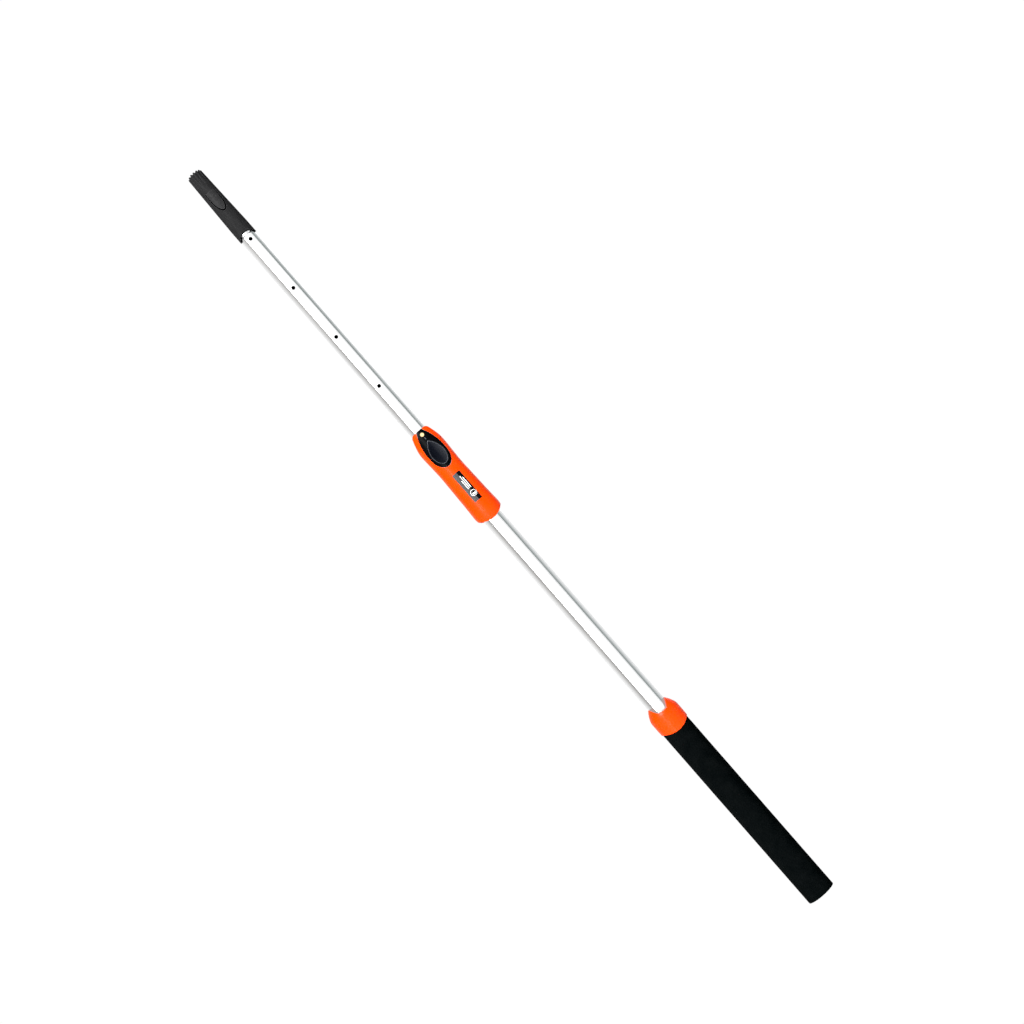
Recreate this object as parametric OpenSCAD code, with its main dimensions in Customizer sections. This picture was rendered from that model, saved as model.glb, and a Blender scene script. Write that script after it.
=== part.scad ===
// Roller extension pole: two telescoping hexagonal tubes, a thumb-lever lock,
// a tapered snap-in tip, an end collar and a foam grip.
// +Z runs along the pole from the butt to the tip, the butt face is Z = 0,
// the lever and the locking holes face -Y, and the lever's pivot lies along X.

/* [Tubes] */
// Outer tube, across flats
outer_af = 22; // [21.9:0.1:22.1]
// Outer tube wall
outer_wall = 0.9; // [0.85:0.05:0.95]
// Inner tube, across flats
inner_af = 19.6; // [19.4:0.1:19.7]
// Inner tube wall
inner_wall = 1; // [0.8:0.1:1.1]
// Corner radius of the outer tube
outer_r = 2; // [1.6:0.1:2.2]
// Corner radius of the inner tube
inner_r = 1.8; // [1.4:0.1:2]
// Distance between two locking holes
pitch = 80; // [79.8:0.1:80.2]
// Number of locking holes
hole_count = 8; // [5:1:8]
// Diameter of a locking hole
hole_d = 5; // [4.9:0.1:5.4]

/* [Tip] */
// Radius of the parallel land above the skirt
land_r = 12.2; // [12.1:0.05:12.3]
// Radius at the crown end
crown_r = 10.15; // [10:0.05:10.3]
// Number of flutes round the crown
flutes = 14; // [10:4:18]
// Radius of a flute's cutter
flute_r = 1.3; // [1.1:0.1:1.4]
// Gap round the snap finger
finger_gap = 1.1; // [0.6:0.1:1.3]

/* [Lock] */
// Gap round the lever in its window
lever_gap = 0.35; // [0.3:0.05:0.5]
// Radius of the locking pin's shank
pin_r = 2.2; // [2:0.05:2.25]
// Radius of the lever's pivot pins
pivot_r = 1.5; // [1.3:0.1:1.6]
// Width of the badge
badge_w = 11.3; // [10:0.1:12]
// Length of the badge
badge_l = 42.9; // [38:0.1:44]

/* [Grip] */
// Foam grip radius
foam_r = 19.25; // [19:0.05:19.4]
// Collar radius
collar_r = 20.6; // [20.4:0.1:21]

/* [Hidden] */
$fn = 96;

fit = 0.05;                 // play per side between a bush and its tube
outer_bore = outer_af - 2 * outer_wall;
inner_bore = inner_af - 2 * inner_wall;

mouth_z = 755;              // mouth of the lock body
lock_z = 615.2;             // its lower end, at the front and at the back
badge_z = 664.4;            // middle of the badge
pin_z = 748.5;              // locking pin
hole_z = pin_z + 0.2 + 4 * pitch;   // top locking hole: four pitches above the pin
pivot_z = 732;
pivot_y = -7.5;
tube_top = 715;             // outer tube ends inside the lock body
bush_top = 727;
dowel_z = 636;
inner_low = 391;            // lower end of the inner tube
shoulder_z = 1076.9;        // the inner tube turns round above this
neck_top = 1112;
skirt_z = 1072.9;           // lower rim of the tip, at its sides
tip_top = 1176.8;
arch_top = 1081.1;          // lower rim of the tip, at its front and back

orange = [1, 0.35, 0.02];
alu = [0.82, 0.83, 0.85];
black = [0.07, 0.07, 0.08];
grey = [0.2, 0.2, 0.21];
steel = [0.6, 0.6, 0.62];
nylon = [0.85, 0.84, 0.8];
brass = [0.85, 0.7, 0.35];

// ---- shared shapes ----

// hexagon with rounded corners, two flats parallel to X
function hex_pts(af, r, n = 6) = [for (k = [0:5], i = [0:n])
    let (c = (af / 2 - r) / cos(30), a = 60 * k - 30 + 60 * i / n)
    [c * cos(60 * k) + r * cos(a), c * sin(60 * k) + r * sin(a)]];

module hex(af, r, z0, z1) translate([0, 0, z0]) linear_extrude(z1 - z0) polygon(hex_pts(af, r));

// smooth curve through a list of points
function spline(a, b, c, d, t) = 0.5 * (2 * b + (c - a) * t + (2 * a - 5 * b + 4 * c - d) * t * t + (3 * b - a - 3 * c + d) * t * t * t);
function smooth(p, n = 4) = [for (i = [0:len(p) - 2], j = [0:n - 1])
    spline(p[max(i - 1, 0)], p[i], p[i + 1], p[min(i + 2, len(p) - 1)], j / n), p[len(p) - 1]];

// turned solid from a list of [radius, z], grown by g
module turned(p, g = 0) rotate_extrude($fn = 96)
    polygon(concat([[0, p[0][1]]], [for (q = p) [q[0] + g, q[1]]], [[0, p[len(p) - 1][1]]]));

// prism along Y from y0 to y1 over an outline of [half-width, z], symmetric about X = 0
module y_prism(p, y0, y1) translate([0, y1, 0]) rotate([90, 0, 0]) linear_extrude(y1 - y0)
    polygon(concat(p, [for (i = [len(p) - 1:-1:0]) if (abs(p[i][0]) > 0.001) [-p[i][0], p[i][1]]]));

module x_cyl(r, x0, x1, y, z) translate([x0, y, z]) rotate([0, 90, 0]) cylinder(r = r, h = x1 - x0);
module y_cyl(r, y0, y1, x, z) translate([x, y1, z]) rotate([90, 0, 0]) cylinder(r = r, h = y1 - y0);

// ---- lock body outline: waisted, shoulders at the lever, rounded lower end ----
low_part = [[16.7, 614.6], [17.3, 616.8], [17.9, 619.4], [18.35, 622.2], [18.65, 625.4],
            [18.75, 629], [18.3, 639], [17.95, 648], [17.6, 662], [17.2, 676.8], [16.85, 690],
            [16.85, 697], [17.15, 706.4], [17.6, 716.2], [17.85, 722]];
side_part = [[17.9, 727], [17.75, 731.5], [17.05, 735.9], [15.9, 740.9], [14.5, 745.8], [13.1, 750.2], [12.4, 752.2], [11.6, 753.6]];
front_part = [[17.9, 728], [17.85, 734], [17.5, 740], [17.1, 746], [16.6, 750.6], [16.1, 753.4], [15.2, mouth_z]];
side_line = smooth(concat(low_part, side_part), 3);
front_line = smooth(concat(low_part, front_part), 3);

// outline of the lever, nose at the mouth
lever_end = 698.5;
function lever_pts(g, top, foot) = smooth(concat([[4.3 + g, top]],
    [for (q = [[4.9, 53.4], [6.3, 50.6], [7.8, 47.3], [9.1, 43.6], [10.3, 39.5], [11.4, 34.6], [12.1, 29.2], [12.5, 23]]) [q[0] + g, lever_end + q[1]]],
    [for (q = [[11.9, 13.8], [10.4, 8.5], [7.9, 4.3], [4.4, 1.1]]) [q[0] + g * 1.05, lever_end + q[1] - g * 0.7]],
    [[1.6, lever_end + 0.1 - foot], [0, lever_end - foot]]), 3);
lever_line = lever_pts(0, mouth_z, 0);
// the same, grown by the running gap and opened above the mouth
window_line = lever_pts(lever_gap, mouth_z + 3, lever_gap);
function pad_pts(g) = smooth([[0, 739.8 + g], [2.5 + g, 737.3], [4.7 + g, 734.2], [7.1 + g, 729.9], [9.3 + g, 723.7], [9.9 + g, 717.6],
                     [8.6 + g, 710.6], [6 + g, 706], [3 + g, 703.4 - g], [0, 702.6 - g]], 3);

// ---- tubes ----
module outer_tube() color(alu) difference() {
    hex(outer_af, outer_r, 3, tube_top);
    hex(outer_bore, outer_r - outer_wall, 2, tube_top + 1);
    y_cyl(2, -20, 20, 0, dowel_z);
}

module inner_tube() color(alu) difference() {
    union() {
        intersection() {
            hex(inner_af, inner_r, inner_low, shoulder_z);
            union() {
                cylinder(r = 14, h = shoulder_z - 3.6);
                translate([0, 0, shoulder_z - 3.6]) cylinder(r1 = 12.2, r2 = 9, h = 3.6);
            }
        }
        translate([0, 0, shoulder_z - 1]) cylinder(r = 9, h = 3);
        translate([0, 0, shoulder_z + 0.7]) cylinder(r = 9.6, h = neck_top - shoulder_z - 0.7);
    }
    hex(inner_bore, max(inner_r - inner_wall, 0.3), inner_low - 1, shoulder_z - 1.5);
    translate([0, 0, shoulder_z - 2]) cylinder(r = 8.5, h = 60);
    for (k = [0:hole_count - 1]) y_cyl(hole_d / 2, -15, -5, 0, hole_z - k * pitch);
    y_cyl(1.5, -15, 15, 0, inner_low + 10);
    x_cyl(1.5, -15, 15, 0, 1097);
}

// ---- tip ----
function tip_r(z) = land_r + (crown_r - land_r) * (z - 1091) / (1174 - 1091);
round_z = tip_top - 1.4;    // the crown's rim rounds over above this
crown_dip = 3.4;            // the crown's rim dips this far at its sides
tip_line = [[land_r - 0.25, skirt_z - 0.4], [land_r, skirt_z + 0.5], [land_r, 1091], [tip_r(round_z), round_z],
            for (a = [22.5:22.5:67.5]) [tip_r(round_z) - 1.2 * (1 - cos(a)), round_z + 1.4 * sin(a)],
            [tip_r(round_z) - 1.2, tip_top]];
finger_z = 1117.6;          // free end of the snap finger
finger_line = smooth([for (q = [[6.1, 28], [6.2, 20.5], [6.0, 13.5], [5.1, 7.5], [3.3, 2.9], [1.4, 0.4], [0, 0]]) [q[0], finger_z + q[1]]], 4);
slot_line = smooth([for (q = [[6.1 + finger_gap * 0.8, 28.2], [6.2 + finger_gap * 0.8, 20.5], [6.0 + finger_gap, 13.3], [5.2 + finger_gap, 6.9],
                    [3.5 + finger_gap, 1.9], [1.6 + finger_gap / 2, -1.2], [0, -1.7]]) [q[0], finger_z + q[1]]], 4);

// prism along X over an outline of [y, z]
module x_prism(p, x0, x1) translate([x0, 0, 0]) rotate([90, 0, 90]) linear_extrude(x1 - x0) polygon(p);

module tip_solid() intersection() {
    difference() {
        turned(tip_line);
        for (k = [0:flutes - 1]) let (a = 360 / flutes * k) rotate([0, 0, a]) {
            // flute, running out on the taper, and the notch it leaves in the crown's rim
            translate([tip_r(1150) + flute_r, 0, 1150]) rotate([0, -3.9, 0]) translate([0, 0, 3]) cylinder(r = flute_r, h = 40, $fn = 48);
            translate([4.5, 0, tip_top - crown_dip * (1 - abs(sin(a))) + 0.15]) rotate([0, 97, 0]) cylinder(r = flute_r, h = 9, $fn = 48);
        }
    }
    // the lower rim rises to the front and the back, and so does the crown's
    x_prism([[13, 1081.7], [3.4, 1074.9], [1.9, 1073.6], [0.6, skirt_z], [-0.6, skirt_z], [-1.9, 1073.6], [-3.4, 1074.9], [-13, 1081.7],
             [-13, tip_top + 1], [-10.2, tip_top], [-2.4, tip_top - crown_dip + 0.5], [-0.8, tip_top - crown_dip],
             [0.8, tip_top - crown_dip], [2.4, tip_top - crown_dip + 0.5], [10.2, tip_top], [13, tip_top + 1]], -20, 20);
}

module tip_body() color(grey) difference() {
    tip_solid();
    // socket for the tube's neck
    translate([0, 0, 1070]) cylinder(r = 9.65, h = neck_top - 1070 + 0.3);
    translate([0, 0, 1070]) cylinder(r = 11.2, h = shoulder_z + 0.3 - 1070);
    // hollow core behind the finger
    translate([0, 0, neck_top]) cylinder(r = 8.2, h = 38);
    // well in the crown's end
    translate([0, 0, tip_top - 9]) cylinder(r = 6.6, h = 12);
    y_prism(slot_line, -20, -5);
    // flattened face below the finger
    translate([-10, -20, 1070]) cube([20, 20 - 11.65, 60]);
    x_cyl(1.5, -20, 20, 0, 1097);
}

module snap_finger() color([0.27, 0.27, 0.28]) difference() {
    intersection() {
        turned([[tip_r(1108) + 0.1, 1108], [tip_r(1117) + 0.45, 1117], [tip_r(1124) + 0.55, 1124], [tip_r(1146) + 0.1, 1146]]);
        y_prism(finger_line, -20, -8);
    }
}

module tip_roll_pin() color(steel) difference() {
    x_cyl(1.48, -11.7, 11.7, 0, 1097);
    x_cyl(0.8, -12, 12, 0, 1097);
}

// ---- lower end of the inner tube ----
module inner_end_bush() color(nylon) difference() {
    union() {
        hex(outer_bore - 2 * fit, outer_r - outer_wall, inner_low - 8, inner_low);
        hex(inner_bore - 2 * fit, 0.8, inner_low - 1, inner_low + 20);
    }
    translate([0, 0, inner_low - 10]) cylinder(r = 6, h = 40);
    y_cyl(1.5, -15, 15, 0, inner_low + 10);
}

module end_bush_pin() color(steel) y_cyl(1.48, -inner_af / 2 + 0.15, inner_af / 2 - 0.15, 0, inner_low + 10);

// ---- lock ----
module lock_voids() {
    hex(outer_af + 0.1, outer_r, lock_z - 5, bush_top - 2);
    hex(outer_af + 2.1, outer_r, bush_top - 2.05, bush_top + 0.05);
    hex(inner_af + 0.5, inner_r, bush_top - 1, mouth_z + 5);
    y_cyl(2.02, -14.6, 14.6, 0, dowel_z);
    // pockets for the lever's side bosses
    for (s = [-1, 1]) x_cyl(3.3, min(s * 8, s * 12.3), max(s * 8, s * 12.3), pivot_y, pivot_z);
    x_cyl(pivot_r + 0.02, -20, 20, pivot_y, pivot_z);
    for (s = [-1, 1], z = [637, 712]) {
        y_cyl(1.12, -6.2, 10, s * 13.7, z);
        y_cyl(2.15, 6.6, 20, s * 13.7, z);
    }
}

// the body's lower rim dips at the front and at the back
foot_rise = smooth([for (q = [[21.5, 12.6], [18.75, 10], [16.5, 8.1], [14, 6.15], [11, 4.1], [8, 2.35], [4, 0.75]]) [-q[0], lock_z + 7.4 - q[1]]], 2);
module lock_foot() x_prism(concat([[-21.5, 590]], foot_rise, [[0, lock_z + 7.4]],
    [for (i = [len(foot_rise) - 1:-1:0]) [-foot_rise[i][0], foot_rise[i][1]]], [[21.5, 590]]), -30, 30);

// room in the mouth's two sides for the tip's lower rim, when the pole is collapsed
module skirt_room() x_prism([[-4.6, 756.5], [-3.8, 754.2], [-2.2, 752.9], [-0.8, 752.3], [0.8, 752.3], [2.2, 752.9], [3.8, 754.2], [4.6, 756.5]], -30, 30);

module lock_front_shell() color(orange) difference() {
    turned(front_line);
    lock_foot();
    skirt_room();
    translate([-30, 0, 600]) cube([60, 40, 200]);
    // planed flanks either side of the nose
    for (s = [0, 1]) mirror([s, 0, 0]) translate([0, 5, 0]) rotate([90, 0, 0]) linear_extrude(40)
        polygon(concat([[30, 728.2], [18.4, 728.2]], [for (q = side_line) if (q[1] > 729.9 && q[1] < 751) q],
            [[12.6, 751.6], [11.8, 752.9], [10.7, 754.1], [9.5, 754.8], [8.4, mouth_z], [8.4, 760], [30, 760]]));
    lock_voids();
    for (u = [0, 0.8]) translate([0, 0, u]) y_prism(window_line, -30, -9); // the nose rises as it swings in
    // seat for the badge
    translate([-badge_w / 2 - 0.1, -30, badge_z - badge_l / 2 - 0.1]) intersection() {
        cube([badge_w + 0.2, 20, badge_l + 0.2]);
        translate([badge_w / 2 + 0.1, 30, -badge_z + badge_l / 2 + 0.1]) difference() {
            cylinder(r = 30, h = 800);
            turned(side_line, -0.55);
        }
    }
}

module lock_rear_shell() color(orange) difference() {
    turned(side_line);
    lock_foot();
    skirt_room();
    translate([-30, -39.85, 600]) cube([60, 40, 200]);
    lock_voids();
}

module lock_badge() color(black) intersection() {
    translate([-badge_w / 2, -30, badge_z - badge_l / 2]) cube([badge_w, 20, badge_l]);
    difference() {
        turned(side_line, 0.15);
        turned(side_line, -0.5);
    }
}

module shell_screws() color(steel) for (s = [-1, 1], z = [637, 712]) difference() {
    union() {
        y_cyl(1.1, -6, 7, s * 13.7, z);
        y_cyl(2, 6.65, 8.2, s * 13.7, z);
    }
    // cross recess
    translate([s * 13.7 - 1.2, 7.4, z - 0.25]) cube([2.4, 2, 0.5]);
    translate([s * 13.7 - 0.25, 7.4, z - 1.2]) cube([0.5, 2, 2.4]);
}

module lock_dowels() color(steel) for (s = [0, 1]) mirror([0, s, 0])
    y_cyl(1.98, -14.5, -inner_af / 2 - 0.1, 0, dowel_z);

module throat_bush() color(nylon) difference() {
    union() {
        hex(outer_af, outer_r, tube_top, bush_top);
        hex(outer_af + 2, outer_r, bush_top - 2, bush_top);
    }
    hex(inner_af + 2 * fit, inner_r, tube_top - 1, bush_top + 1);
}

module lock_lever() color(black) difference() {
    union() {
        intersection() {
            turned(front_line, 0.3);
            y_prism(lever_line, -30, -12.4);
        }
        for (s = [0, 1]) mirror([s, 0, 0]) {
            translate([8.9, -13, pivot_z - 2.3]) cube([1.2, 13 + pivot_y, 4.6]);
            x_cyl(2.9, 8.9, 12, pivot_y, pivot_z);
        }
    }
    y_prism(pad_pts(0), -30, -14.4);
    y_cyl(pin_r + 0.01, -30, 0, 0, pin_z);
    y_cyl(2.6, -30, -15.75, 0, pin_z);
    y_cyl(3.4, -13.5, -10, 0, 709);
    x_cyl(pivot_r + 0.06, -20, 20, pivot_y, pivot_z);
}

module thumb_pad() color([0.12, 0.13, 0.17]) difference() {
    intersection() {
        turned(front_line, -0.25);
        y_prism(pad_pts(-0.12), -30, -14.42);
    }
    // dish for the thumb
    translate([0, -81.6, 720.5]) sphere(r = 66, $fn = 128);
}

module lock_pin() color(brass) union() {
    y_cyl(pin_r, -15.9, -10.5, 0, pin_z);
    y_cyl(2.5, -16.55, -15.8, 0, pin_z);
    translate([0, -10.5, pin_z]) rotate([-90, 0, 0]) cylinder(r1 = pin_r, r2 = pin_r - 0.35, h = 0.4);
}

module lever_pivot_pins() color(steel) for (s = [0, 1]) mirror([s, 0, 0])
    x_cyl(pivot_r, 9.1, 15.5, pivot_y, pivot_z);

// closed coil swept along a helix
module lever_spring() {
    wire = 0.27; coil = 2.7; turns = 3; len0 = 1.75; y0 = -11.4;
    seg = 20; n = turns * seg; m = 10;
    function at(i, j) = let (a = 360 * i / seg, b = 360 * j / m, r = coil + wire * cos(b))
        [r * cos(a), y0 - len0 * i / n + wire * sin(b), 709 + r * sin(a)];
    color(steel) polyhedron(
        points = [for (i = [0:n], j = [0:m - 1]) at(i, j)],
        faces = concat(
            [for (i = [0:n - 1], j = [0:m - 1]) let (k = (j + 1) % m) [i * m + j, i * m + k, (i + 1) * m + k, (i + 1) * m + j]],
            [[for (j = [m - 1:-1:0]) j], [for (j = [0:m - 1]) n * m + j]]));
}

// ---- grip ----
collar_line = smooth([[19.8, 268.6], [20.15, 271], [20.45, 276], [collar_r, 281.5], [collar_r, 292], [20.5, 294.6], [20.1, 296.8],
                      [19.2, 299.2], [17.4, 303], [15.5, 306.2], [13.0, 309.6]], 3);
notch_line = smooth([[16, 316.5], [13.8, 312.4], [12.4, 309.6], [10.9, 306.8], [9.3, 304], [7.9, 301.8], [6.6, 300.2], [5.5, 299.4], [4.8, 299.3]], 3);
arch_r = 35;                // the collar's lower rim dips at the front and at the back
arch_z = 275.3;

module grip_collar() color(orange) difference() {
    turned(collar_line);
    hex(outer_af + 0.1, outer_r, 250, 320);
    translate([0, 0, 250]) cylinder(r = 18.05, h = 38.1);
    for (s = [0, 1]) mirror([0, s, 0]) y_prism(notch_line, -30, 0);
    x_cyl(arch_r, -30, 30, 0, arch_z - arch_r);
}

module foam_grip() color(black) difference() {
    union() {
        cylinder(r = 17.95, h = 288);
        intersection() {
            rotate_extrude() polygon([[0, 0], [foam_r, 0], [foam_r, 260], [foam_r - 0.15, 280], [0, 280]]);
            union() {
                x_cyl(arch_r - 0.1, -30, 30, 0, arch_z - arch_r);
                translate([-30, -30, -1]) cube([60, 60, 1 + arch_z - arch_r]);
            }
        }
    }
    hex(outer_af + 0.1, outer_r, -1, 300);
    translate([0, 0, -1]) cylinder(r = 15.1, h = 4.05);
}

module butt_plug() color(grey) difference() {
    union() {
        cylinder(r1 = 14.6, r2 = 15, h = 0.6);
        translate([0, 0, 0.5]) cylinder(r = 15, h = 2.5);
        hex(outer_bore - 2 * fit, outer_r - outer_wall, 2, 38);
    }
    translate([0, 0, 6]) cylinder(r = 7.5, h = 40);
}

outer_tube();
inner_tube();
tip_body();
snap_finger();
tip_roll_pin();
inner_end_bush();
end_bush_pin();
lock_front_shell();
lock_rear_shell();
shell_screws();
lock_dowels();
throat_bush();
lock_lever();
thumb_pad();
lock_pin();
lever_pivot_pins();
lever_spring();
lock_badge();
grip_collar();
foam_grip();
butt_plug();
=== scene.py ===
import bpy, bmesh, math
from mathutils import Vector, Matrix, noise


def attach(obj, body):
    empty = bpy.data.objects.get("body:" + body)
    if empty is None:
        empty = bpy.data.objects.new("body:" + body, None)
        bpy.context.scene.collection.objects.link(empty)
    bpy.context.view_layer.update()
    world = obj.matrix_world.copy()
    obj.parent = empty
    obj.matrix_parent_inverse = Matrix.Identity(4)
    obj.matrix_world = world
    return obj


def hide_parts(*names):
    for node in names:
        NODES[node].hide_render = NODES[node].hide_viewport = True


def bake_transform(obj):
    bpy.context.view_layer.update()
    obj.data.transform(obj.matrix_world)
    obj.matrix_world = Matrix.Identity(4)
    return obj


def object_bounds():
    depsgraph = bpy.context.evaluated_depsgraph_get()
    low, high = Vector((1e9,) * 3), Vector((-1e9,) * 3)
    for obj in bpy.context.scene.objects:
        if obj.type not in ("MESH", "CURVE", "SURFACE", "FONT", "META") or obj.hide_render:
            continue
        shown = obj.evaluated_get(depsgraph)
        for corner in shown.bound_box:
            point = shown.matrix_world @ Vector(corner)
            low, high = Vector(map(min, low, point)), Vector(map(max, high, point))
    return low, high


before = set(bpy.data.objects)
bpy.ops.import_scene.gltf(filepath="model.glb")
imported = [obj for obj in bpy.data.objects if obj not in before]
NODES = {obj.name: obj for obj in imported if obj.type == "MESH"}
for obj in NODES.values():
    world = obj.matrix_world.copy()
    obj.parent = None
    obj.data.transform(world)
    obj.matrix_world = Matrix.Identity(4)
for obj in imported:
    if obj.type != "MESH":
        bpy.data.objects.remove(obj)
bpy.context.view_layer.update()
scene = bpy.context.scene
scene.view_settings.view_transform = "Standard"
scene.view_settings.look = "None"
scene.view_settings.exposure = 0.0
scene.view_settings.gamma = 1.0
scene.view_settings.use_curve_mapping = True
scene.view_settings.curve_mapping.black_level = (0.004, 0.004, 0.004)
scene.view_settings.curve_mapping.update()
MM = 0.001


# ---------------------------------------------------------------- materials
class Mat:
    """A Principled material with a small helper for its node graph."""

    def __init__(self, name, base, rough, metal=0.0, spec=0.5, coat=0.0, coat_rough=0.1, sheen=0.0):
        self.m = bpy.data.materials.new(name)
        self.m.use_nodes = True
        self.m.diffuse_color = (*base, 1)
        self.t = self.m.node_tree
        self.n = self.t.nodes
        self.l = self.t.links
        self.p = next(x for x in self.n if x.type == "BSDF_PRINCIPLED")
        self.set("Base Color", (*base, 1))
        self.set("Roughness", rough)
        self.set("Metallic", metal)
        self.set("Specular IOR Level", spec)
        self.set("Coat Weight", coat)
        self.set("Coat Roughness", coat_rough)
        self.set("Sheen Weight", sheen)
        self.co = self.n.new("ShaderNodeTexCoord").outputs["Object"]

    def set(self, key, value):
        self.p.inputs[key].default_value = value

    def mapped(self, scale):
        mp = self.n.new("ShaderNodeMapping")
        mp.inputs["Scale"].default_value = scale
        self.l.new(self.co, mp.inputs["Vector"])
        return mp.outputs["Vector"]

    def noise(self, scale, detail=3.0, rough=0.55, stretch=None):
        t = self.n.new("ShaderNodeTexNoise")
        t.inputs["Scale"].default_value = scale
        t.inputs["Detail"].default_value = detail
        t.inputs["Roughness"].default_value = rough
        self.l.new(self.mapped(stretch) if stretch else self.co, t.inputs["Vector"])
        return t.outputs["Fac"]

    def voronoi(self, scale, feature="F1", out="Distance"):
        t = self.n.new("ShaderNodeTexVoronoi")
        t.feature = feature
        t.inputs["Scale"].default_value = scale
        self.l.new(self.co, t.inputs["Vector"])
        return t.outputs[out]

    def ramp(self, fac, stops):
        r = self.n.new("ShaderNodeValToRGB")
        e = r.color_ramp.elements
        while len(e) < len(stops):
            e.new(0.5)
        for el, (pos, col) in zip(e, stops):
            el.position = pos
            el.color = (*col, 1) if len(col) == 3 else col
        self.l.new(fac, r.inputs["Fac"])
        return r.outputs["Color"]

    def rng(self, fac, lo, hi, a=0.3, b=0.7):
        r = self.n.new("ShaderNodeMapRange")
        r.inputs["From Min"].default_value = a
        r.inputs["From Max"].default_value = b
        r.inputs["To Min"].default_value = lo
        r.inputs["To Max"].default_value = hi
        self.l.new(fac, r.inputs["Value"])
        return r.outputs["Result"]

    def math(self, op, a, b):
        x = self.n.new("ShaderNodeMath")
        x.operation = op
        for i, v in enumerate((a, b)):
            if isinstance(v, (int, float)):
                x.inputs[i].default_value = v
            else:
                self.l.new(v, x.inputs[i])
        return x.outputs["Value"]

    def mix(self, fac, a, b):
        x = self.n.new("ShaderNodeMix")
        x.data_type = "RGBA"
        for key, v in ((0, fac), (6, a), (7, b)):
            if isinstance(v, (int, float)):
                x.inputs[key].default_value = v
            elif isinstance(v, tuple):
                x.inputs[key].default_value = (*v, 1) if len(v) == 3 else v
            else:
                self.l.new(v, x.inputs[key])
        return x.outputs[2]

    def to(self, key, sock):
        self.l.new(sock, self.p.inputs[key])

    def vec(self, op, a, b=None, out="Vector", scale=None):
        x = self.n.new("ShaderNodeVectorMath")
        x.operation = op
        for i, v in enumerate((a, b)):
            if v is None:
                continue
            if isinstance(v, tuple):
                x.inputs[i].default_value = v
            else:
                self.l.new(v, x.inputs[i])
        if scale is not None:
            if isinstance(scale, (int, float)):
                x.inputs["Scale"].default_value = scale
            else:
                self.l.new(scale, x.inputs["Scale"])
        return x.outputs[out]

    def rounded(self, radius):
        """Moulded edges: the shading normal turns over a small radius."""
        bev = self.n.new("ShaderNodeBevel")
        bev.samples = 6
        bev.inputs["Radius"].default_value = radius
        self.l.new(bev.outputs["Normal"], self.p.inputs["Normal"])

    def glow_grey_in_reflections(self, colour, amount):
        """Painted reflection: other pieces see this one as a plain glowing tone in their reflections."""
        out = next(x for x in self.n if x.type == "OUTPUT_MATERIAL")
        em = self.n.new("ShaderNodeEmission")
        em.inputs["Color"].default_value = (*colour, 1)
        lp = self.n.new("ShaderNodeLightPath")
        ms = self.n.new("ShaderNodeMixShader")
        self.l.new(self.math("MULTIPLY", lp.outputs["Is Glossy Ray"], amount), ms.inputs[0])
        self.l.new(self.p.outputs[0], ms.inputs[1])
        self.l.new(em.outputs[0], ms.inputs[2])
        self.l.new(ms.outputs[0], out.inputs["Surface"])

    def bump(self, height, strength, distance):
        b = self.n.new("ShaderNodeBump")
        b.inputs["Strength"].default_value = strength
        b.inputs["Distance"].default_value = distance
        self.l.new(height, b.inputs["Height"])
        last = self.p.inputs["Normal"]
        if last.links:
            self.l.new(last.links[0].from_socket, b.inputs["Normal"])
        self.l.new(b.outputs["Normal"], self.p.inputs["Normal"])

    def edge_wear(self, base, wear_and_side_light, radius=0.0006, amount=0.6):
        """Lighter, rubbed edges: where a rounded normal departs from the true one."""
        bev = self.n.new("ShaderNodeBevel")
        bev.samples = 6
        bev.inputs["Radius"].default_value = radius
        geo = self.n.new("ShaderNodeNewGeometry")
        dot = self.n.new("ShaderNodeVectorMath")
        dot.operation = "DOT_PRODUCT"
        self.l.new(bev.outputs["Normal"], dot.inputs[0])
        self.l.new(geo.outputs["Normal"], dot.inputs[1])
        edge = self.rng(dot.outputs["Value"], amount, 0.0, 0.9, 0.995)
        grain = self.rng(self.noise(900, 2), 0.2, 1.0)
        return self.mix(self.math("MULTIPLY", edge, grain), base, wear_and_side_light)


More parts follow.
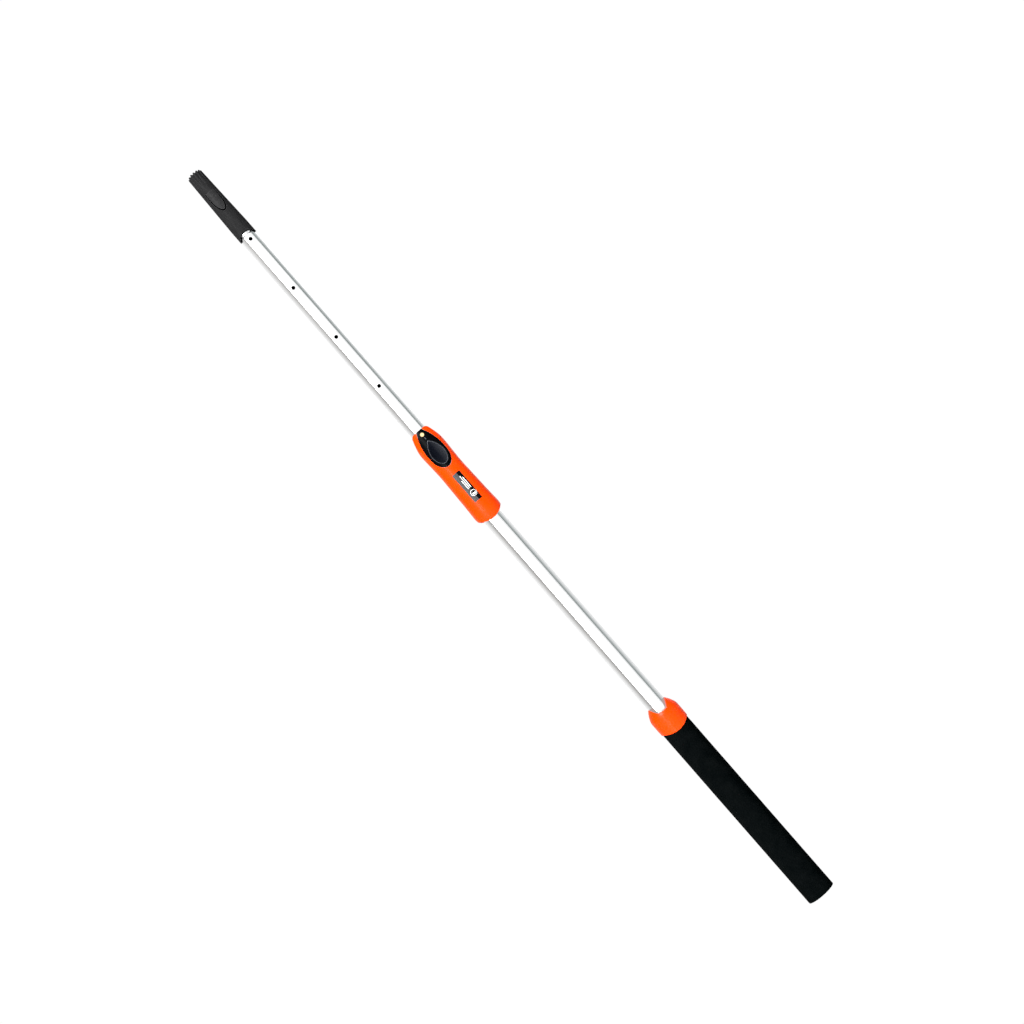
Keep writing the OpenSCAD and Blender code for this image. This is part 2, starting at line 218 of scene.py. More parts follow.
def make_materials():
    M = {}
    # extruded and anodised tube: fine draw lines along Z, faces a hair convex, the bore painted dark as shade
    a = Mat("anodised_tube", (0.93, 0.935, 0.94), 0.26, metal=1.0)
    lines = a.noise(1.0, 2, stretch=(5200, 5200, 14))
    cloud = a.noise(38, 3)
    geo = a.n.new("ShaderNodeNewGeometry")
    radial = a.vec("NORMALIZE", a.vec("MULTIPLY", a.co, (1.0, 1.0, 0.0)))
    facing = a.vec("DOT_PRODUCT", geo.outputs["Normal"], radial, out="Value")
    flat = a.vec("DOT_PRODUCT", geo.outputs["Normal"], (0.0, 0.0, 1.0), out="Value")
    side = a.math("LESS_THAN", a.math("ABSOLUTE", flat, 0.0), 0.3)
    outside = a.math("MULTIPLY", a.math("GREATER_THAN", facing, 0.5), side)
    crown = a.vec("SCALE", radial, scale=a.math("MULTIPLY", outside, 0.30))
    bent = a.vec("NORMALIZE", a.vec("ADD", geo.outputs["Normal"], crown))
    a.l.new(bent, a.p.inputs["Normal"])
    # painted shade: faces turned towards the axis get a near-black matt colour in place of the metal
    inside = a.math("MULTIPLY", a.math("LESS_THAN", facing, 0.45), side)
    shade = a.ramp(cloud, [(0.3, (0.9, 0.905, 0.912)), (0.7, (0.95, 0.952, 0.955))])
    a.to("Base Color", a.mix(inside, shade, (0.012, 0.012, 0.013)))
    a.to("Metallic", a.math("SUBTRACT", 1.0, inside))
    a.to("Specular IOR Level", a.math("SUBTRACT", 0.5, a.math("MULTIPLY", inside, 0.45)))
    a.to("Roughness", a.math("ADD", a.math("ADD", a.rng(lines, 0.17, 0.27), a.rng(cloud, -0.02, 0.03)), a.math("MULTIPLY", inside, 0.6)))
    a.bump(lines, 0.10, 0.00004)
    M["tube"] = a.m

    # orange injection moulding: fine spark-eroded grain, slight tone drift, rubbed edges
    o = Mat("orange_moulding", (1.0, 0.09, 0.001), 0.36, spec=0.13)
    o.rounded(0.0007)
    drift = o.noise(22, 3)
    grain = o.noise(2600, 2)
    col = o.ramp(drift, [(0.25, (0.83, 0.041, 0.0)), (0.75, (0.87, 0.055, 0.0001))])
    o.to("Base Color", o.edge_wear(col, (1.0, 0.15, 0.03), 0.0007, 0.4))
    o.to("Roughness", o.math("ADD", o.rng(grain, 0.27, 0.34), o.rng(o.noise(120, 3), -0.03, 0.04)))
    o.bump(grain, 0.08, 0.00005)
    # painted reflection: the tubes mirror the orange as a glowing grey
    o.glow_grey_in_reflections((0.42, 0.40, 0.38), 0.9)
    M["orange"] = o.m

    # charcoal glass-filled nylon
    t = Mat("tip_nylon", (0.02, 0.02, 0.021), 0.55, spec=0.02)
    t.rounded(0.0005)
    grain = t.noise(1700, 3, 0.65)
    flow = t.noise(1.0, 3, stretch=(700, 700, 60))
    col = t.ramp(flow, [(0.3, (0.0110, 0.0110, 0.0114)), (0.7, (0.0190, 0.0190, 0.0195))])
    # painted shade: ambient occlusion darkens the flutes and other hollows in the base colour
    ao = t.n.new("ShaderNodeAmbientOcclusion")
    ao.samples = 8
    ao.inputs["Distance"].default_value = 0.0022
    painted_groove_shade = t.rng(ao.outputs["AO"], 0.0, 1.0, 0.35, 0.82)
    t.to("Base Color", t.mix(painted_groove_shade, (0.0015, 0.0015, 0.0016), t.edge_wear(col, (0.075, 0.075, 0.078), 0.0008, 0.6)))
    t.to("Roughness", t.rng(grain, 0.46, 0.64))
    t.bump(grain, 0.22, 0.00008)
    M["tip"] = t.m
    f = Mat("tip_tongue_nylon", (0.032, 0.032, 0.034), 0.48, spec=0.04)
    f.rounded(0.0005)
    grain = f.noise(1700, 3, 0.65)
    f.to("Base Color", f.edge_wear(f.ramp(f.noise(260, 2), [(0.3, (0.0155, 0.0155, 0.0160)), (0.7, (0.0235, 0.0235, 0.0240))]), (0.11, 0.11, 0.115), 0.0009, 0.6))
    f.to("Roughness", f.rng(grain, 0.40, 0.56))
    f.bump(grain, 0.18, 0.00008)
    M["tongue"] = f.m

    # lever: black moulding, a little shinier
    b = Mat("black_moulding", (0.0025, 0.0026, 0.003), 0.34, spec=0.035)
    b.rounded(0.0006)
    grain = b.noise(2400, 2)
    b.to("Base Color", b.edge_wear(b.ramp(b.noise(90, 3), [(0.3, (0.0010, 0.0011, 0.0013)), (0.7, (0.0024, 0.0025, 0.0029))]), (0.03, 0.031, 0.035), 0.0006, 0.5))
    b.to("Roughness", b.rng(grain, 0.28, 0.42))
    b.bump(grain, 0.10, 0.00005)
    M["lever"] = b.m

    # soft thumb pad: blue-black elastomer, stippled
    s = Mat("soft_pad", (0.006, 0.007, 0.011), 0.42, spec=0.035, sheen=0.0)
    dots = s.voronoi(1500)
    # painted light and shade: the dish is coloured lighter towards one side (+X) and darker towards the other
    sx_ = s.n.new("ShaderNodeSeparateXYZ")
    s.l.new(s.co, sx_.inputs["Vector"])
    wear_and_side_light = s.rng(s.math("ADD", sx_.outputs["X"], s.math("MULTIPLY", s.noise(150, 3), 0.003)), 0.0, 1.0, -0.0065, 0.0105)
    tone = s.ramp(wear_and_side_light, [(0.0, (0.0004, 0.0007, 0.0020)), (0.45, (0.0030, 0.0036, 0.0060)), (1.0, (0.022, 0.0235, 0.028))])
    s.to("Base Color", s.edge_wear(tone, (0.09, 0.10, 0.115), 0.0005, 0.45))
    s.to("Roughness", s.rng(s.noise(500, 2), 0.36, 0.5))
    s.bump(dots, 0.2, 0.00006)
    M["pad"] = s.m

    # painted highlight: the pad's raised lip and the lever ridge get this lighter colour for the light they catch
    u = Mat("soft_pad_rim_highlight", (0.04, 0.043, 0.05), 0.45, spec=0.2)
    u.to("Base Color", u.ramp(u.noise(240, 3), [(0.3, (0.030, 0.032, 0.038)), (0.7, (0.058, 0.061, 0.070))]))
    u.to("Roughness", u.rng(u.noise(900, 2), 0.38, 0.5))
    M["rim"] = u.m

    # closed-cell foam: matt, fine open pores from the skived skin
    g = Mat("foam", (0.0016, 0.0022, 0.0022), 0.95, spec=0.03, sheen=0.0)
    cells = g.voronoi(1300)
    pores = g.voronoi(650)
    tone = g.noise(60, 4)
    speck = g.rng(cells, 0.6, 1.5, 0.1, 0.7)
    col = g.ramp(tone, [(0.3, (0.0013, 0.0018, 0.0019)), (0.7, (0.0028, 0.0034, 0.0035))])
    hsv = g.n.new("ShaderNodeHueSaturation")
    g.l.new(col, hsv.inputs["Color"])
    g.l.new(speck, hsv.inputs["Value"])
    g.to("Base Color", hsv.outputs["Color"])
    g.to("Roughness", g.rng(tone, 0.84, 1.0))
    g.bump(cells, 0.5, 0.0002)
    g.bump(pores, 0.35, 0.0003)
    M["foam"] = g.m

    r = Mat("brass", (0.88, 0.68, 0.36), 0.22, metal=1.0)
    turn = r.noise(1.0, 2, stretch=(3500, 60, 3500))
    r.to("Base Color", r.ramp(r.noise(300, 2), [(0.3, (0.84, 0.62, 0.30)), (0.7, (0.93, 0.76, 0.46))]))
    r.to("Roughness", r.rng(turn, 0.16, 0.34))
    M["brass"] = r.m

    z = Mat("bright_steel", (0.66, 0.66, 0.68), 0.28, metal=1.0)
    z.to("Roughness", z.rng(z.noise(700, 3), 0.2, 0.4))
    z.to("Base Color", z.ramp(z.noise(200, 2), [(0.3, (0.58, 0.58, 0.6)), (0.7, (0.72, 0.72, 0.74))]))
    M["steel"] = z.m

    y = Mat("natural_nylon", (0.76, 0.74, 0.68), 0.5, spec=0.5)
    y.set("Subsurface Weight", 0.15)
    y.set("Subsurface Radius", (0.002, 0.0018, 0.0014))
    y.to("Base Color", y.ramp(y.noise(80, 3), [(0.3, (0.72, 0.70, 0.63)), (0.7, (0.80, 0.78, 0.72))]))
    y.to("Roughness", y.rng(y.noise(1500, 2), 0.42, 0.58))
    M["nylon"] = y.m

    # badge: gloss black film over a dark grey lower stripe, split by position across the plate
    k = Mat("badge_print", (0.003, 0.003, 0.0035), 0.2, spec=0.06, coat=0.0)
    sep = k.n.new("ShaderNodeSeparateXYZ")
    k.l.new(k.co, sep.inputs["Vector"])
    band = k.rng(sep.outputs["X"], 1.0, 0.0, 0.0007, 0.0008)
    fine = k.n.new("ShaderNodeTexWave")
    fine.wave_type = "BANDS"
    fine.bands_direction = "X"
    fine.inputs["Scale"].default_value = 330
    k.l.new(k.co, fine.inputs["Vector"])
    grey = k.mix(fine.outputs["Fac"], (0.030, 0.030, 0.033), (0.10, 0.10, 0.105))
    k.to("Base Color", k.mix(band, (0.0025, 0.0025, 0.003), grey))
    k.to("Roughness", k.rng(k.noise(400, 2), 0.16, 0.28))
    M["badge"] = k.m

    w = Mat("badge_white", (0.86, 0.86, 0.85), 0.3, spec=0.5)
    w.to("Base Color", w.ramp(w.noise(500, 2), [(0.3, (0.80, 0.80, 0.79)), (0.7, (0.92, 0.92, 0.91))]))
    w.to("Roughness", w.rng(w.noise(900, 2), 0.24, 0.36))
    M["white"] = w.m
    return M


MATS = make_materials()
LOOK = {
    "outer_tube": "tube", "inner_tube": "tube", "tip_body": "tip", "snap_finger": "tongue",
    "tip_roll_pin": "steel", "inner_end_bush": "nylon", "end_bush_pin": "steel",
    "lock_front_shell": "orange", "lock_rear_shell": "orange", "shell_screws": "steel",
    "lock_dowels": "steel", "throat_bush": "nylon", "lock_lever": "lever", "thumb_pad": "pad",
    "lock_pin": "brass", "lever_pivot_pins": "steel", "lever_spring": "steel",
    "lock_badge": "badge", "grip_collar": "orange", "foam_grip": "foam", "butt_plug": "lever",
}
for name, key in LOOK.items():
    o = NODES[name]
    o.data.materials.clear()
    o.data.materials.append(MATS[key])


# ---------------------------------------------------------------- smoothing of the CAD meshes
def smooth_group(angle_deg, merge=0.000002):
    g = bpy.data.node_groups.new(f"smooth_{angle_deg}", "GeometryNodeTree")
    g.interface.new_socket("Geometry", in_out="INPUT", socket_type="NodeSocketGeometry")
    g.interface.new_socket("Geometry", in_out="OUTPUT", socket_type="NodeSocketGeometry")
    i, o = g.nodes.new("NodeGroupInput"), g.nodes.new("NodeGroupOutput")
    md = g.nodes.new("GeometryNodeMergeByDistance")
    md.inputs["Distance"].default_value = merge
    s1 = g.nodes.new("GeometryNodeSetShadeSmooth")
    s1.domain = "FACE"
    s2 = g.nodes.new("GeometryNodeSetShadeSmooth")
    s2.domain = "EDGE"
    s2.inputs["Shade Smooth"].default_value = False
    ea = g.nodes.new("GeometryNodeInputMeshEdgeAngle")
    cmp_ = g.nodes.new("FunctionNodeCompare")
    cmp_.operation = "GREATER_THAN"
    cmp_.inputs[1].default_value = math.radians(angle_deg)
    L = g.links
    L.new(i.outputs[0], md.inputs["Geometry"])
    L.new(md.outputs["Geometry"], s1.inputs["Geometry"])
    L.new(s1.outputs["Geometry"], s2.inputs["Geometry"])
    L.new(ea.outputs["Unsigned Angle"], cmp_.inputs[0])
    L.new(cmp_.outputs["Result"], s2.inputs["Selection"])
    L.new(s2.outputs["Geometry"], o.inputs[0])
    return g


SMOOTH = smooth_group(28)


def soften(o):
    m = o.modifiers.new("smooth_by_angle", "NODES")
    m.node_group = SMOOTH


for name in NODES:
    soften(NODES[name])

# ---------------------------------------------------------------- pieces made here
def spline(pts, n=6):
    """Points along a smooth curve through pts."""
    out = []
    for i in range(len(pts) - 1):
        p0, p1, p2, p3 = pts[max(i - 1, 0)], pts[i], pts[i + 1], pts[min(i + 2, len(pts) - 1)]
        for j in range(n):
            t = j / n
            out.append(tuple(0.5 * (2 * b + (c - a) * t + (2 * a - 5 * b + 4 * c - d) * t * t + (3 * b - a - 3 * c + d) * t ** 3)
                             for a, b, c, d in zip(p0, p1, p2, p3)))
    out.append(tuple(pts[-1]))
    return out


def radius_at(line, z):
    for (r0, z0), (r1, z1) in zip(line, line[1:]):
        if z0 <= z <= z1:
            return r0 + (r1 - r0) * (z - z0) / (z1 - z0)
    return line[0][0] if z < line[0][1] else line[-1][0]


def new_mesh(name, verts, faces, material, body=None, smooth=True):
    me = bpy.data.meshes.new(name)
    me.from_pydata([tuple(c * MM for c in v) for v in verts], [], faces)
    bm = bmesh.new()
    bm.from_mesh(me)
    bmesh.ops.remove_doubles(bm, verts=bm.verts, dist=1e-6)
    bmesh.ops.recalc_face_normals(bm, faces=bm.faces)
    bm.to_mesh(me)
    bm.free()
    if smooth:
        me.polygons.foreach_set("use_smooth", [True] * len(me.polygons))
    ob = bpy.data.objects.new(name, me)
    scene.collection.objects.link(ob)
    me.materials.append(material)
    if body:
        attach(ob, body)
    return ob


def loft(rings, closed_rows=False):
    """Quads between rings of equal length; each ring is closed on itself."""
    verts, faces, m = [], [], len(rings[0])
    for r in rings:
        verts.extend(r)
    rows = len(rings)
    for i in range(rows if closed_rows else rows - 1):
        for j in range(m):
            a, b = i * m, ((i + 1) % rows) * m
            k = (j + 1) % m
            faces.append((a + j, a + k, b + k, b + j))
    return verts, faces


# the lock body's turned outlines, as in the CAD
LOW = [(16.7, 614.6), (17.3, 616.8), (17.9, 619.4), (18.35, 622.2), (18.65, 625.4), (18.75, 629), (18.3, 639), (17.95, 648),
       (17.6, 662), (17.2, 676.8), (16.85, 690), (16.85, 697), (17.15, 706.4), (17.6, 716.2), (17.85, 722)]
FRONT = spline(LOW + [(17.9, 728), (17.85, 734), (17.5, 740), (17.1, 746), (16.6, 750.6), (16.1, 753.4), (15.2, 755)])
SIDE = spline(LOW + [(17.9, 727), (17.75, 731.5), (17.05, 735.9), (15.9, 740.9), (14.5, 745.8), (13.1, 750.2), (12.4, 752.2), (11.6, 753.6)])


# --- foam sleeve: skived surface, softened ends, arched shoulder under the collar
def foam_sleeve():
    R, R_IN, M_ = 19.25, 17.95, 168
    n_len = 230
    rows = []

    def bore(th):
        d = (th + math.pi / 6) % (math.pi / 3) - math.pi / 6
        return min(11.06 / math.cos(d), 12.43)

    cols = []
    for j in range(M_):
        th = 2 * math.pi * (j + 0.5) / M_
        c, s_ = math.sin(th), -math.cos(th)
        y = R * s_
        top = 275.3 - 35 + math.sqrt(35 ** 2 - y * y) - 0.12
        y_in = R_IN * s_
        top_in = 275.3 - 35 + math.sqrt(35 ** 2 - y_in * y_in) - 0.12
        prof = [(bore(th), 3.1), (15.12, 3.1), (15.12, 0.3), (15.32, 0.06), (15.7, 0.0), (17.2, 0.0), (18.6, 0.0), (18.88, 0.04), (19.1, 0.15), (19.21, 0.34), (R, 0.62)]
        for i in range(1, n_len):
            u = i / n_len
            z = 0.62 + (top - 0.75 - 0.62) * u
            taper = 0.12 * max(0.0, (z - 258) / 20)
            # a skived sleeve is never quite true: long shallow waves and a fine pebble
            q = Vector((c * 0.9, s_ * 0.9, z * 0.02))
            wob = 0.05 * noise.noise(q * 1.7) + 0.045 * noise.noise(Vector((c * R, s_ * R, z)) * 0.33)
            prof.append((R - 0.05 - taper + wob, z))
        r_end = R - 0.05 - 0.08
        prof += [(r_end, top - 0.62), (r_end - 0.08, top - 0.3), (r_end - 0.26, top - 0.1), (r_end - 0.5, top - 0.02),
                 (R_IN + 0.25, (top + top_in) / 2), (R_IN, top_in + 0.02), (R_IN, 284.0), (R_IN, 287.7), (R_IN - 0.3, 288.0), (bore(th), 288.0)]
        cols.append([(r * c, r * s_, z) for r, z in prof])
    k = len(cols[0])
    rings = [[cols[j][i] for j in range(M_)] for i in range(k)]
    v, f = loft(rings, closed_rows=True)
    return v, f


FOAM_V, FOAM_F = foam_sleeve()
foam = new_mesh("foam_sleeve", FOAM_V, FOAM_F, MATS["foam"], "handle")
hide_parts("foam_grip")


# --- thumb pad: teardrop insert with a raised rim and a dished middle
def pad_shape():
    half = spline([(0, 739.6), (2.35, 737.2), (4.55, 734.1), (6.95, 729.8), (9.15, 723.65), (9.75, 717.6), (8.45, 710.65), (5.9, 706.15), (2.95, 703.6), (0, 702.8)], 8)
    right = [(x, z) for x, z in half]
    left = [(-x, z) for x, z in reversed(half[1:-1])]
    loop = right + left
    c = (0.0, 718.6)

    def surf(x, z):
        r = radius_at(FRONT, z) - 0.22
        return -math.sqrt(max(r * r - x * x, 1.0))

    def inset(p, t):
        return (c[0] + (p[0] - c[0]) * t, c[1] + (p[1] - c[1]) * t)

    rings = []
    steps = [0.02, 0.1, 0.2, 0.3, 0.4, 0.5, 0.58, 0.66, 0.73, 0.79, 0.84, 0.875, 0.895, 0.91, 0.925, 0.94, 0.955, 0.97, 0.985, 1.0]
    for t in steps:
        ring = []
        for p in loop:
            x, z = inset(p, t)
            # distance from the dish's oval, 1 on its edge
            d = math.hypot((x - 0.0) / 8.7, (z - 717.2) / (13.4 if z < 717.2 else 16.2))
            dish = 2.15 * max(0.0, 1 - d * d) ** 0.85
            lip = 0.0
            if t >= 0.895:
                lip = 0.30 * math.sin(math.pi * min(1.0, (t - 0.895) / 0.09)) if t <= 0.985 else 0.0
            drop = 0.0 if t < 0.985 else (0.12 if t < 1.0 else 0.4)
            if 0.79 <= t < 0.895:
                drop = 0.16 * math.sin(math.pi * (t - 0.79) / 0.105)   # groove inside the rim
            y = surf(x, z) + dish - lip + drop
            ring.append((x, min(y, -14.75), z))
        rings.append(ring)
    rings.append([(x, -14.44, z) for x, _, z in rings[-1]])
    v, f = loft(rings)
    m = len(loop)
    v.append((c[0], min(rings[0][0][1], -14.9), c[1]))
    v.append((c[0], -14.44, c[1]))
    last = (len(rings) - 1) * m
    for j in range(m):
        k = (j + 1) % m
        f.append((k, j, len(v) - 2))
        f.append((last + j, last + k, len(v) - 1))
    return v, f, m


PAD_V, PAD_F, PAD_M = pad_shape()
PAD_RIM = range(13 * PAD_M, 17 * PAD_M)     # the faces of the raised lip
pad = new_mesh("thumb_cushion", PAD_V, PAD_F, MATS["pad"], "lever")
pad.data.materials.append(MATS["rim"])
soften(pad)
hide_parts("thumb_pad")
# the lip's faces take the lighter rim colour, a painted highlight on real raised geometry
for face in pad.data.polygons:
    face.material_index = 1 if face.index in PAD_RIM else 0


# --- small moulded ridge on the lever between the pad and the pin, coloured lighter as a painted highlight
def ridge():
    rows = []
    n = 14
    for i in range(n + 1):
        u = i / n
        z = 740.6 + 4.2 * u
        half = 0.62 * math.sqrt(max(0.0, 1 - (2 * u - 1) ** 2)) + 0.02
        base = -(radius_at(FRONT, z) + 0.3)
        rows.append([(half * math.cos(a), base + 0.1 - 0.32 * math.sin(a) * half / 0.62, z) for a in (math.pi * j / 8 for j in range(9))]
                    + [(half * math.cos(a), base + 0.45, z) for a in (math.pi * (1 - j / 8) for j in range(1, 8))])
    v, f = loft(rows)
    m = len(rows[0])
    f += [tuple(reversed(range(m))), tuple(range(n * m, n * m + m))]
    return v, f


RIDGE_V, RIDGE_F = ridge()
new_mesh("lever_ridge", RIDGE_V, RIDGE_F, MATS["rim"], "lever")


# --- raised print on the badge: three plain bars and a half-filled ring, no lettering
def badge_point(x, z, up):
    r = radius_at(SIDE, z) + 0.15 + up
    return (x, -math.sqrt(r * r - x * x), z)


def badge_patch(outer, inner=None):
    """A thin raised patch over the plate. outer and inner are loops of (x, z) of equal length."""
    n = len(outer)
    v = [badge_point(x, z, 0.16) for x, z in outer] + [badge_point(x, z, -0.03) for x, z in outer]
    f = [(j, (j + 1) % n, n + (j + 1) % n, n + j) for j in range(n)]
    if inner:
        v += [badge_point(x, z, 0.16) for x, z in inner] + [badge_point(x, z, -0.03) for x, z in inner]
        f += [(2 * n + j, 2 * n + (j + 1) % n, (j + 1) % n, j) for j in range(n)]
        f += [(3 * n + j, 3 * n + (j + 1) % n, 2 * n + (j + 1) % n, 2 * n + j) for j in range(n)]
        f += [(n + j, n + (j + 1) % n, 3 * n + (j + 1) % n, 3 * n + j) for j in range(n)]
    else:
        f += [tuple(range(n)), tuple(reversed(range(n, 2 * n)))]
    return v, f


def circle(cx, cz, r, n=40):
    return [(cx + r * math.cos(2 * math.pi * i / n), cz + r * math.sin(2 * math.pi * i / n)) for i in range(n)]


V, F = [], []
parts = []
for x0, z_lo, z_hi in ((3.3, 661.5, 677.0), (1.2, 661.5, 680.0), (-0.9, 661.5, 674.0)):
    n = 10
    parts.append(([(x0 + 0.42, z_lo + (z_hi - z_lo) * j / n) for j in range(n, -1, -1)]
                  + [(x0 - 0.42, z_lo - 1.0 + (z_hi - z_lo + 0.6) * j / n) for j in range(n + 1)], "bar"))
parts.append((circle(1.0, 653.6, 4.1), circle(1.0, 653.6, 3.55)))
parts.append(([(1.0 + 2.4 * math.cos(math.pi + math.pi * i / 20), 653.6 + 2.4 * math.sin(math.pi + math.pi * i / 20)) for i in range(21)], None))
for outer, inner in parts:
    if inner == "bar":
        # quads from edge to edge, so that the bar keeps to the plate
        h = len(outer) // 2
        lo_, hi_ = list(reversed(outer[:h])), outer[h:]
        v = [badge_point(x, z, u) for u in (0.16, -0.03) for row in (lo_, hi_) for x, z in row]
        f = []
        for j in range(h - 1):
            f += [(j, j + 1, h + j + 1, h + j), (2 * h + j + 1, 2 * h + j, 3 * h + j, 3 * h + j + 1),
                  (j + 1, j, 2 * h + j, 2 * h + j + 1), (h + j, h + j + 1, 3 * h + j + 1, 3 * h + j)]
        f += [(0, h, 3 * h, 2 * h), (h - 1, 3 * h - 1, 4 * h - 1, 2 * h - 1)]
    else:
        v, f = badge_patch(outer, inner)
    b0 = len(V)
    V += v
    F += [tuple(b0 + i for i in q) for q in f]
print_marks = new_mesh("badge_marks", V, F, MATS["white"], "handle", smooth=False)


# --- coil spring between the lock body and the lever's tail
def coil():
    wire, rad, turns, seg, m = 0.27, 2.66, 4.0, 28, 10
    y0, y1 = -11.15, -13.2
    n = int(turns * seg)
    rings = []
    for i in range(n + 1):
        u = i / n
        ends = 0.14
        # closed end turns
        w = 0.0 if u < ends else 1.0 if u > 1 - ends else (u - ends) / (1 - 2 * ends)
        w = w * 0.8 + u * 0.2
        a = 2 * math.pi * turns * u
        rings.append([((rad + wire * math.cos(b)) * math.cos(a), y0 + (y1 - y0) * w + wire * math.sin(b), 709 + (rad + wire * math.cos(b)) * math.sin(a))
                      for b in (2 * math.pi * j / m for j in range(m))])
    v, f = loft(rings)
    f.append(tuple(reversed(range(m))))
    f.append(tuple(range(n * m, n * m + m)))
    return v, f


SPR_V, SPR_F = coil()
spring = new_mesh("return_spring", SPR_V, SPR_F, MATS["steel"], None)
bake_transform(spring)
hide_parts("lever_spring")

# ---------------------------------------------------------------- stage, light, camera
lo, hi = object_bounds()


def add_plane(name, size, z):
    me = bpy.data.meshes.new(name)
    me.from_pydata([(-size, -size, z), (size, -size, z), (size, size, z), (-size, size, z)], [], [(0, 1, 2, 3)])
    ob = bpy.data.objects.new(name, me)
    scene.collection.objects.link(ob)
    return ob


floor = add_plane("floor", 30.0, lo.z - 0.0002)
fm = Mat("floor_white", (0.93, 0.93, 0.93), 0.7, spec=0.05)
f_out = next(x for x in fm.n if x.type == "OUTPUT_MATERIAL")
f_em = fm.n.new("ShaderNodeEmission")
f_em.inputs["Strength"].default_value = 1.02
f_lp = fm.n.new("ShaderNodeLightPath")
f_mix = fm.n.new("ShaderNodeMixShader")
fm.l.new(f_lp.outputs["Is Camera Ray"], f_mix.inputs[0])
fm.l.new(fm.p.outputs[0], f_mix.inputs[1])
fm.l.new(f_em.outputs[0], f_mix.inputs[2])
f_clear = fm.n.new("ShaderNodeBsdfTransparent")
f_mix2 = fm.n.new("ShaderNodeMixShader")
fm.l.new(f_lp.outputs["Is Glossy Ray"], f_mix2.inputs[0])
fm.l.new(f_mix.outputs[0], f_mix2.inputs[1])
fm.l.new(f_clear.outputs[0], f_mix2.inputs[2])
fm.l.new(f_mix2.outputs[0], f_out.inputs["Surface"])
floor.data.materials.append(fm.m)

world = bpy.data.worlds.new("studio")
scene.world = world
world.use_nodes = True
wn, wl = world.node_tree.nodes, world.node_tree.links
wn.clear()
out = wn.new("ShaderNodeOutputWorld")
bg_cam = wn.new("ShaderNodeBackground")
bg_cam.inputs["Color"].default_value = (1, 1, 1, 1)
bg_cam.inputs["Strength"].default_value = 1.02
bg_env = wn.new("ShaderNodeBackground")
bg_env.inputs["Strength"].default_value = 1.0
lp = wn.new("ShaderNodeLightPath")
mixs = wn.new("ShaderNodeMixShader")
tc = wn.new("ShaderNodeTexCoord")
sx = wn.new("ShaderNodeSeparateXYZ")
wl.new(tc.outputs["Generated"], sx.inputs["Vector"])
at = wn.new("ShaderNodeMath")
at.operation = "ARCTAN2"
wl.new(sx.outputs["X"], at.inputs[0])
ny = wn.new("ShaderNodeMath")
ny.operation = "MULTIPLY"
ny.inputs[1].default_value = -1.0
wl.new(sx.outputs["Y"], ny.inputs[0])
wl.new(ny.outputs[0], at.inputs[1])
mr = wn.new("ShaderNodeMapRange")
mr.inputs["From Min"].default_value = -math.pi
mr.inputs["From Max"].default_value = math.pi
wl.new(at.outputs[0], mr.inputs["Value"])
ramp = wn.new("ShaderNodeValToRGB")
ramp.color_ramp.interpolation = "EASE"
el = ramp.color_ramp.elements
# azimuth round the pole, 0.5 faces the viewer, 0.75 is the +X side, 0.25 the -X side
STOPS = [
    (0.00, (1.06, 1.06, 1.06)), (0.062, (1.06, 1.06, 1.06)), (0.075, (0.74, 0.745, 0.75)), (0.102, (0.74, 0.745, 0.75)), (0.118, (1.06, 1.06, 1.06)),
    (0.130, (1.06, 1.06, 1.06)), (0.172, (0.72, 0.715, 0.705)), (0.215, (0.37, 0.362, 0.35)), (0.265, (0.37, 0.362, 0.35)), (0.318, (1.1, 1.1, 1.1)),
    (0.36, (1.22, 1.22, 1.22)), (0.382, (1.3, 1.3, 1.3)), (0.402, (12.0, 12.0, 12.0)), (0.444, (12.0, 12.0, 12.0)), (0.466, (1.3, 1.3, 1.3)),
    (0.545, (1.22, 1.22, 1.22)), (0.57, (0.74, 0.745, 0.75)), (0.615, (0.72, 0.725, 0.73)), (0.64, (1.15, 1.15, 1.15)), (0.685, (1.1, 1.1, 1.1)),
    (0.735, (0.26, 0.29, 0.285)), (0.805, (0.26, 0.295, 0.29)), (0.845, (0.6, 0.62, 0.62)), (0.882, (1.02, 1.02, 1.02)), (0.897, (0.74, 0.745, 0.75)),
    (0.940, (0.74, 0.745, 0.75)), (0.955, (1.06, 1.06, 1.06)), (1.0, (1.06, 1.06, 1.06)),
]
while len(el) < len(STOPS):
    el.new(0.5)
for e, (p, c) in zip(el, STOPS):
    e.position = p
    e.color = (*c, 1)
wl.new(mr.outputs["Result"], ramp.inputs["Fac"])
# darker straight up and down, so that edges across the pole draw a line
az = wn.new("ShaderNodeMath")
az.operation = "ABSOLUTE"
wl.new(sx.outputs["Z"], az.inputs[0])
zr = wn.new("ShaderNodeMapRange")
zr.interpolation_type = "SMOOTHSTEP"
zr.inputs["From Min"].default_value = 0.66
zr.inputs["From Max"].default_value = 0.9
zr.inputs["To Min"].default_value = 1.0
zr.inputs["To Max"].default_value = 0.08
wl.new(az.outputs[0], zr.inputs["Value"])
dim = wn.new("ShaderNodeMix")
dim.data_type = "RGBA"
dim.blend_type = "MULTIPLY"
dim.inputs[0].default_value = 1.0
wl.new(ramp.outputs["Color"], dim.inputs[6])
wl.new(zr.outputs["Result"], dim.inputs[7])
wl.new(dim.outputs[2], bg_env.inputs["Color"])
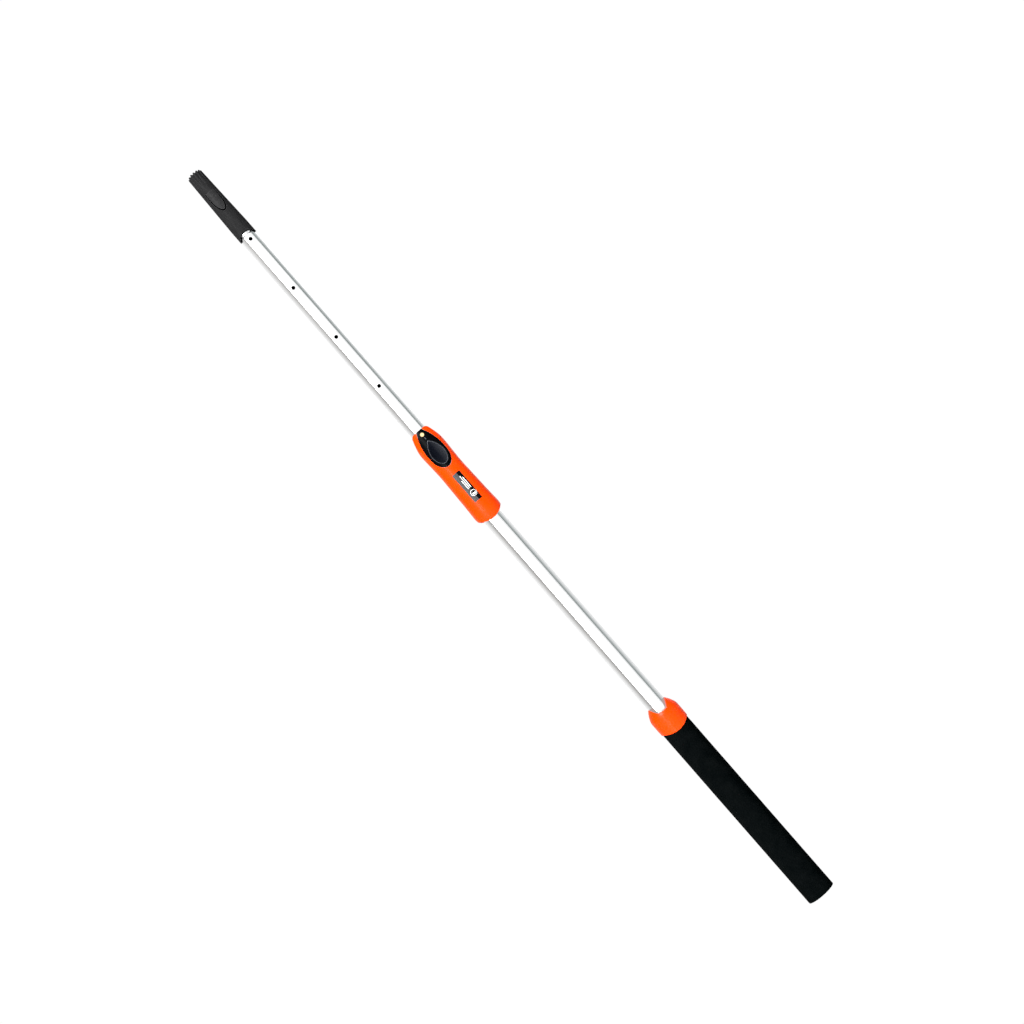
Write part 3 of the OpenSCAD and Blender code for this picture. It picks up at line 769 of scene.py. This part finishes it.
# soft even fill for what isn't mirror-like
bg_fill = wn.new("ShaderNodeBackground")
bg_fill.inputs["Color"].default_value = (1.0, 1.0, 1.0, 1)
bg_fill.inputs["Strength"].default_value = 0.33
mixd = wn.new("ShaderNodeMixShader")
wl.new(lp.outputs["Is Diffuse Ray"], mixd.inputs[0])
wl.new(bg_env.outputs[0], mixd.inputs[1])
wl.new(bg_fill.outputs[0], mixd.inputs[2])
wl.new(lp.outputs["Is Camera Ray"], mixs.inputs[0])
wl.new(mixd.outputs[0], mixs.inputs[1])
wl.new(bg_cam.outputs[0], mixs.inputs[2])
wl.new(mixs.outputs[0], out.inputs["Surface"])


def area(name, loc, target, size, power):
    d = bpy.data.lights.new(name, "AREA")
    d.shape = "DISK"
    d.size = size
    d.energy = power
    ob = bpy.data.objects.new(name, d)
    ob.location = loc
    ob.rotation_euler = (Vector(target) - Vector(loc)).to_track_quat("-Z", "Y").to_euler()
    scene.collection.objects.link(ob)
    return ob


area("key", (-1.25, -2.7, 2.7), (0, 0, 0.6), 1.0, 155)
area("top", (0.3, 0.0, 3.2), (0, 0, 0.4), 2.4, 25)
area("back", (1.4, 3.0, 1.8), (0, 0, 0.6), 2.6, 14)

# level camera, rolled so that the pole runs from upper left to lower right, a little round to the -X side
PX = 0.0012327
LENS, SENSOR = 85.0, 36.0
roll = math.radians(41.122)
turn = math.radians(4.0)
dist = 1024 * PX * LENS / SENSOR
cam_d = bpy.data.cameras.new("camera")
cam_d.lens = LENS
cam_d.sensor_width = SENSOR
cam_d.clip_end = 100
cam = bpy.data.objects.new("camera", cam_d)
scene.collection.objects.link(cam)
view = Vector((math.sin(turn), math.cos(turn), 0))
flat_h = Vector((math.cos(turn), -math.sin(turn), 0))
z_up = Vector((0, 0, 1))
right = math.cos(roll) * flat_h - math.sin(roll) * z_up
up = math.sin(roll) * flat_h + math.cos(roll) * z_up
rot = Matrix((right, up, -view)).transposed().to_4x4()
cam.matrix_world = Matrix.Translation(0.0219 * flat_h + 0.6046 * z_up - dist * view) @ rot
scene.camera = cam
